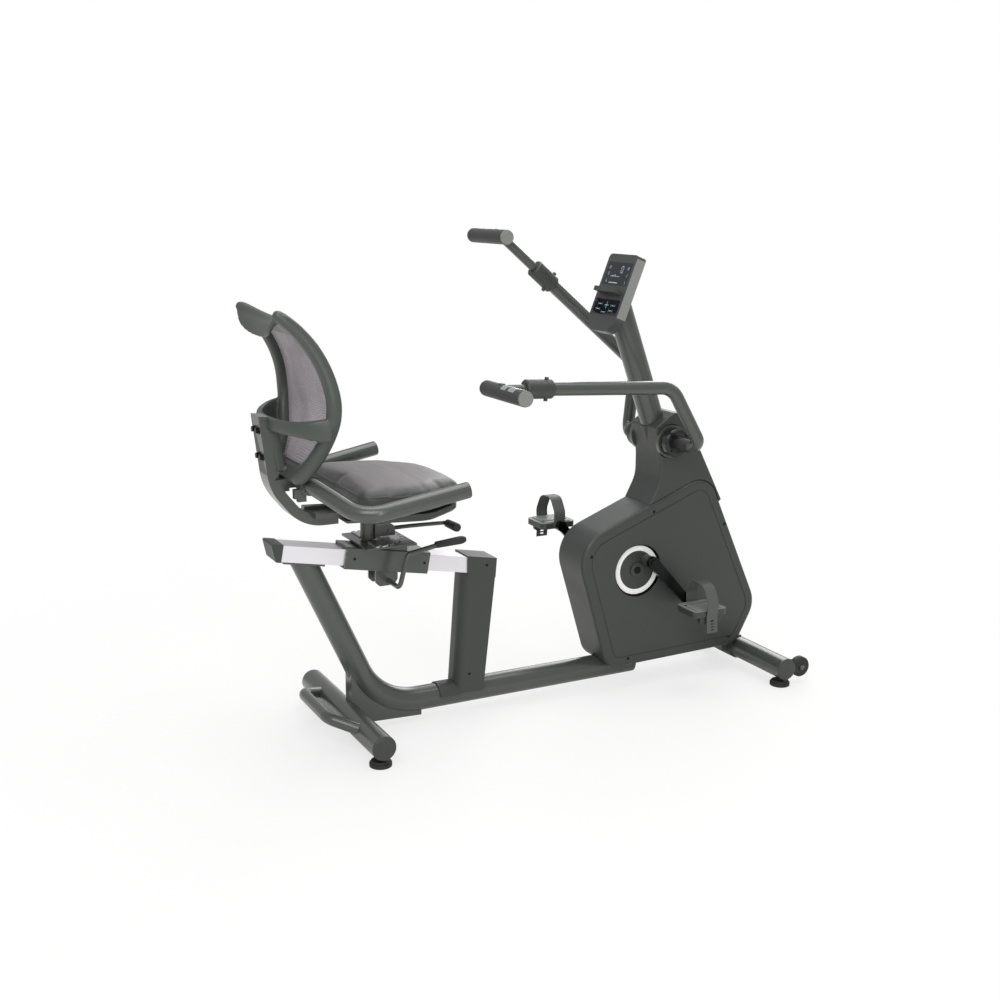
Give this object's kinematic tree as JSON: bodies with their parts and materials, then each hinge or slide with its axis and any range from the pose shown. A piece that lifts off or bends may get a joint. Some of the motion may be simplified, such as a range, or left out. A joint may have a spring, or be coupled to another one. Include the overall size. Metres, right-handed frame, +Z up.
{
  "type": "exercise bike",
  "caption": "Recumbent exercise bike: swivel seat with mesh back on a sloping rail, enclosed belt drive with pedals, console mast and two swinging arms with telescopic grips.",
  "frame": {"origin": "on the floor, under the middle of the bike's footprint", "axes": "+X forward from the seat to the console, +Y to the rider's left, +Z up"},
  "size_m": [1.5113, 0.682, 1.2224],
  "materials": {
    "frame_paint": "satin",
    "carriage_paint": "satin",
    "cover_plastic": "fine grain",
    "disc_plastic": "satin",
    "rail_aluminium": "brushed",
    "bright_steel": "satin",
    "foot_rubber": "matt",
    "wheel_rubber": "matt",
    "cushion_vinyl": "soft grain",
    "mesh_cloth": "open weave",
    "grip_foam": "matt",
    "console_plastic": "satin",
    "flywheel_iron": "turned",
    "belt_rubber": "ribbed",
    "pedal_plastic": "grained",
    "strap_rubber": "matt"
  },
  "bodies": {
    "frame": {"rear_stabilizer": "frame_paint", "front_stabilizer": "frame_paint", "stabilizer_caps": "cover_plastic", "wheel_brackets": "frame_paint", "main_tube": "frame_paint", "rear_gusset": "frame_paint", "seat_rail": "rail_aluminium", "rail_end_cap": "cover_plastic", "upright_tube": "frame_paint", "upright_cover_right": "cover_plastic", "upright_cover_left": "cover_plastic", "front_saddle": "frame_paint", "housing_right": "cover_plastic", "housing_left": "cover_plastic", "neck_cover_right": "cover_plastic", "neck_cover_left": "cover_plastic", "drive_frame": "frame_paint", "mast": "frame_paint", "drive_belt": "belt_rubber", "console_body": "console_plastic", "tablet_ledge": "console_plastic", "housing_screws": "bright_steel"},
    "seat_slide": {"carriage": "carriage_paint", "swivel_base": "frame_paint", "index_plate": "bright_steel"},
    "slide_lock": {"slide_lever": "frame_paint"},
    "seat": {"seat_swivel": "frame_paint", "seat_pan": "cover_plastic", "seat_cushion": "cushion_vinyl", "armrest_tube": "frame_paint", "back_bar": "frame_paint", "backrest_frame": "cover_plastic", "backrest_mesh": "mesh_cloth"},
    "swivel_lock": {"swivel_lever": "frame_paint"},
    "crank": {"crank_axle": "bright_steel", "crank_discs": "disc_plastic", "crank_arms": "frame_paint", "drive_pulley": "cover_plastic"},
    "inertia_wheel": {"flywheel": "flywheel_iron"},
    "brake": {"magnet_brake": "bright_steel"},
    "foot_plate_right": {"pedal_right": "pedal_plastic", "pedal_strap_right": "strap_rubber"},
    "foot_plate_left": {"pedal_left": "pedal_plastic", "pedal_strap_left": "strap_rubber"},
    "swing_right": {"arm_right": "frame_paint", "arm_clamp_right": "cover_plastic"},
    "swing_left": {"arm_left": "frame_paint", "arm_clamp_left": "cover_plastic"},
    "handle_right": {"stem_right": "frame_paint", "grip_right": "grip_foam"},
    "handle_left": {"stem_left": "frame_paint", "grip_left": "grip_foam"},
    "button_right": {"grip_button_right": "cover_plastic"},
    "button_left": {"grip_button_left": "cover_plastic"},
    "wheel_right": {"transport_wheel_right": "wheel_rubber"},
    "wheel_left": {"transport_wheel_left": "wheel_rubber"},
    "foot_rr": {"rear_foot_right": "foot_rubber"},
    "foot_rl": {"rear_foot_left": "foot_rubber"},
    "foot_fr": {"front_foot_right": "foot_rubber"},
    "foot_fl": {"front_foot_left": "foot_rubber"}
  },
  "joints": [
    {"name": "seat_slide_adjust", "type": "slide", "parent": "frame", "child": "seat_slide", "axis": [0.9841, 0, -0.1778], "range_m": [-0.042, 0.1]},
    {"name": "slide_lock_lift", "type": "hinge", "parent": "seat_slide", "child": "slide_lock", "pos_m": [-0.41, 0, 0.385], "axis": [0, -1, 0], "range_deg": [0, 15], "stiffness_Nm_per_rad": 1.2, "springref_deg": -22.92},
    {"name": "seat_swivel_turn", "type": "hinge", "parent": "seat_slide", "child": "seat", "pos_m": [-0.452, 0, 0.5], "axis": [0, 0, 1], "range_deg": [-90, 90]},
    {"name": "swivel_lock_lift", "type": "hinge", "parent": "seat", "child": "swivel_lock", "pos_m": [-0.406, 0, 0.51], "axis": [0, -1, 0], "range_deg": [0, 8], "stiffness_Nm_per_rad": 1.2, "springref_deg": -22.92},
    {"name": "flywheel_spin", "type": "hinge", "parent": "frame", "child": "inertia_wheel", "pos_m": [0.522, 0, 0.262], "axis": [0, 1, 0], "continuous": true},
    {"name": "crank_spin", "type": "hinge", "parent": "frame", "child": "crank", "pos_m": [0.293, 0, 0.332], "axis": [0, 1, 0], "continuous": true},
    {"name": "brake_tilt", "type": "hinge", "parent": "frame", "child": "brake", "pos_m": [0.45, 0, 0.138], "axis": [0, 1, 0], "range_deg": [0, 4]},
    {"name": "pedal_turn_right", "type": "hinge", "parent": "crank", "child": "foot_plate_right", "pos_m": [0.43594, -0.16, 0.23191], "axis": [0, 1, 0], "continuous": true},
    {"name": "pedal_turn_left", "type": "hinge", "parent": "crank", "child": "foot_plate_left", "pos_m": [0.15006, 0.16, 0.43209], "axis": [0, 1, 0], "continuous": true},
    {"name": "arm_swing_right", "type": "hinge", "parent": "frame", "child": "swing_right", "pos_m": [0.384, 0, 0.676], "axis": [0, 1, 0], "range_deg": [0, 37]},
    {"name": "arm_swing_left", "type": "hinge", "parent": "frame", "child": "swing_left", "pos_m": [0.384, 0, 0.676], "axis": [0, 1, 0], "range_deg": [-37, 0]},
    {"name": "grip_reach_right", "type": "slide", "parent": "swing_right", "child": "handle_right", "axis": [-0.9986, 0, 0.0523], "range_m": [-0.04, 0.05]},
    {"name": "grip_reach_left", "type": "slide", "parent": "swing_left", "child": "handle_left", "axis": [-0.766, 0, 0.6428], "range_m": [-0.078, 0.012]},
    {"name": "button_press_right", "type": "slide", "parent": "handle_right", "child": "button_right", "axis": [0, 0, -1], "range_m": [0, 0.001], "stiffness_N_per_m": 800, "springref_m": -0.001},
    {"name": "button_press_left", "type": "slide", "parent": "handle_left", "child": "button_left", "axis": [-0.6018, 0, -0.7986], "range_m": [0, 0.001], "stiffness_N_per_m": 800, "springref_m": -0.001},
    {"name": "wheel_spin_right", "type": "hinge", "parent": "frame", "child": "wheel_right", "pos_m": [0.723, -0.229, 0.046], "axis": [0, 1, 0], "continuous": true},
    {"name": "wheel_spin_left", "type": "hinge", "parent": "frame", "child": "wheel_left", "pos_m": [0.723, 0.229, 0.046], "axis": [0, 1, 0], "continuous": true},
    {"name": "level_rear_right", "type": "slide", "parent": "frame", "child": "foot_rr", "axis": [0, 0, -1], "range_m": [0, 0.01]},
    {"name": "level_rear_left", "type": "slide", "parent": "frame", "child": "foot_rl", "axis": [0, 0, -1], "range_m": [0, 0.01]},
    {"name": "level_front_right", "type": "slide", "parent": "frame", "child": "foot_fr", "axis": [0, 0, -1], "range_m": [0, 0.01]},
    {"name": "level_front_left", "type": "slide", "parent": "frame", "child": "foot_fl", "axis": [0, 0, -1], "range_m": [0, 0.01]}
  ],
  "couplings": [
    {"joint": "crank_spin", "follows": "flywheel_spin", "ratio": 0.16667},
    {"joint": "arm_swing_left", "follows": "arm_swing_right", "ratio": -1}
  ]
}
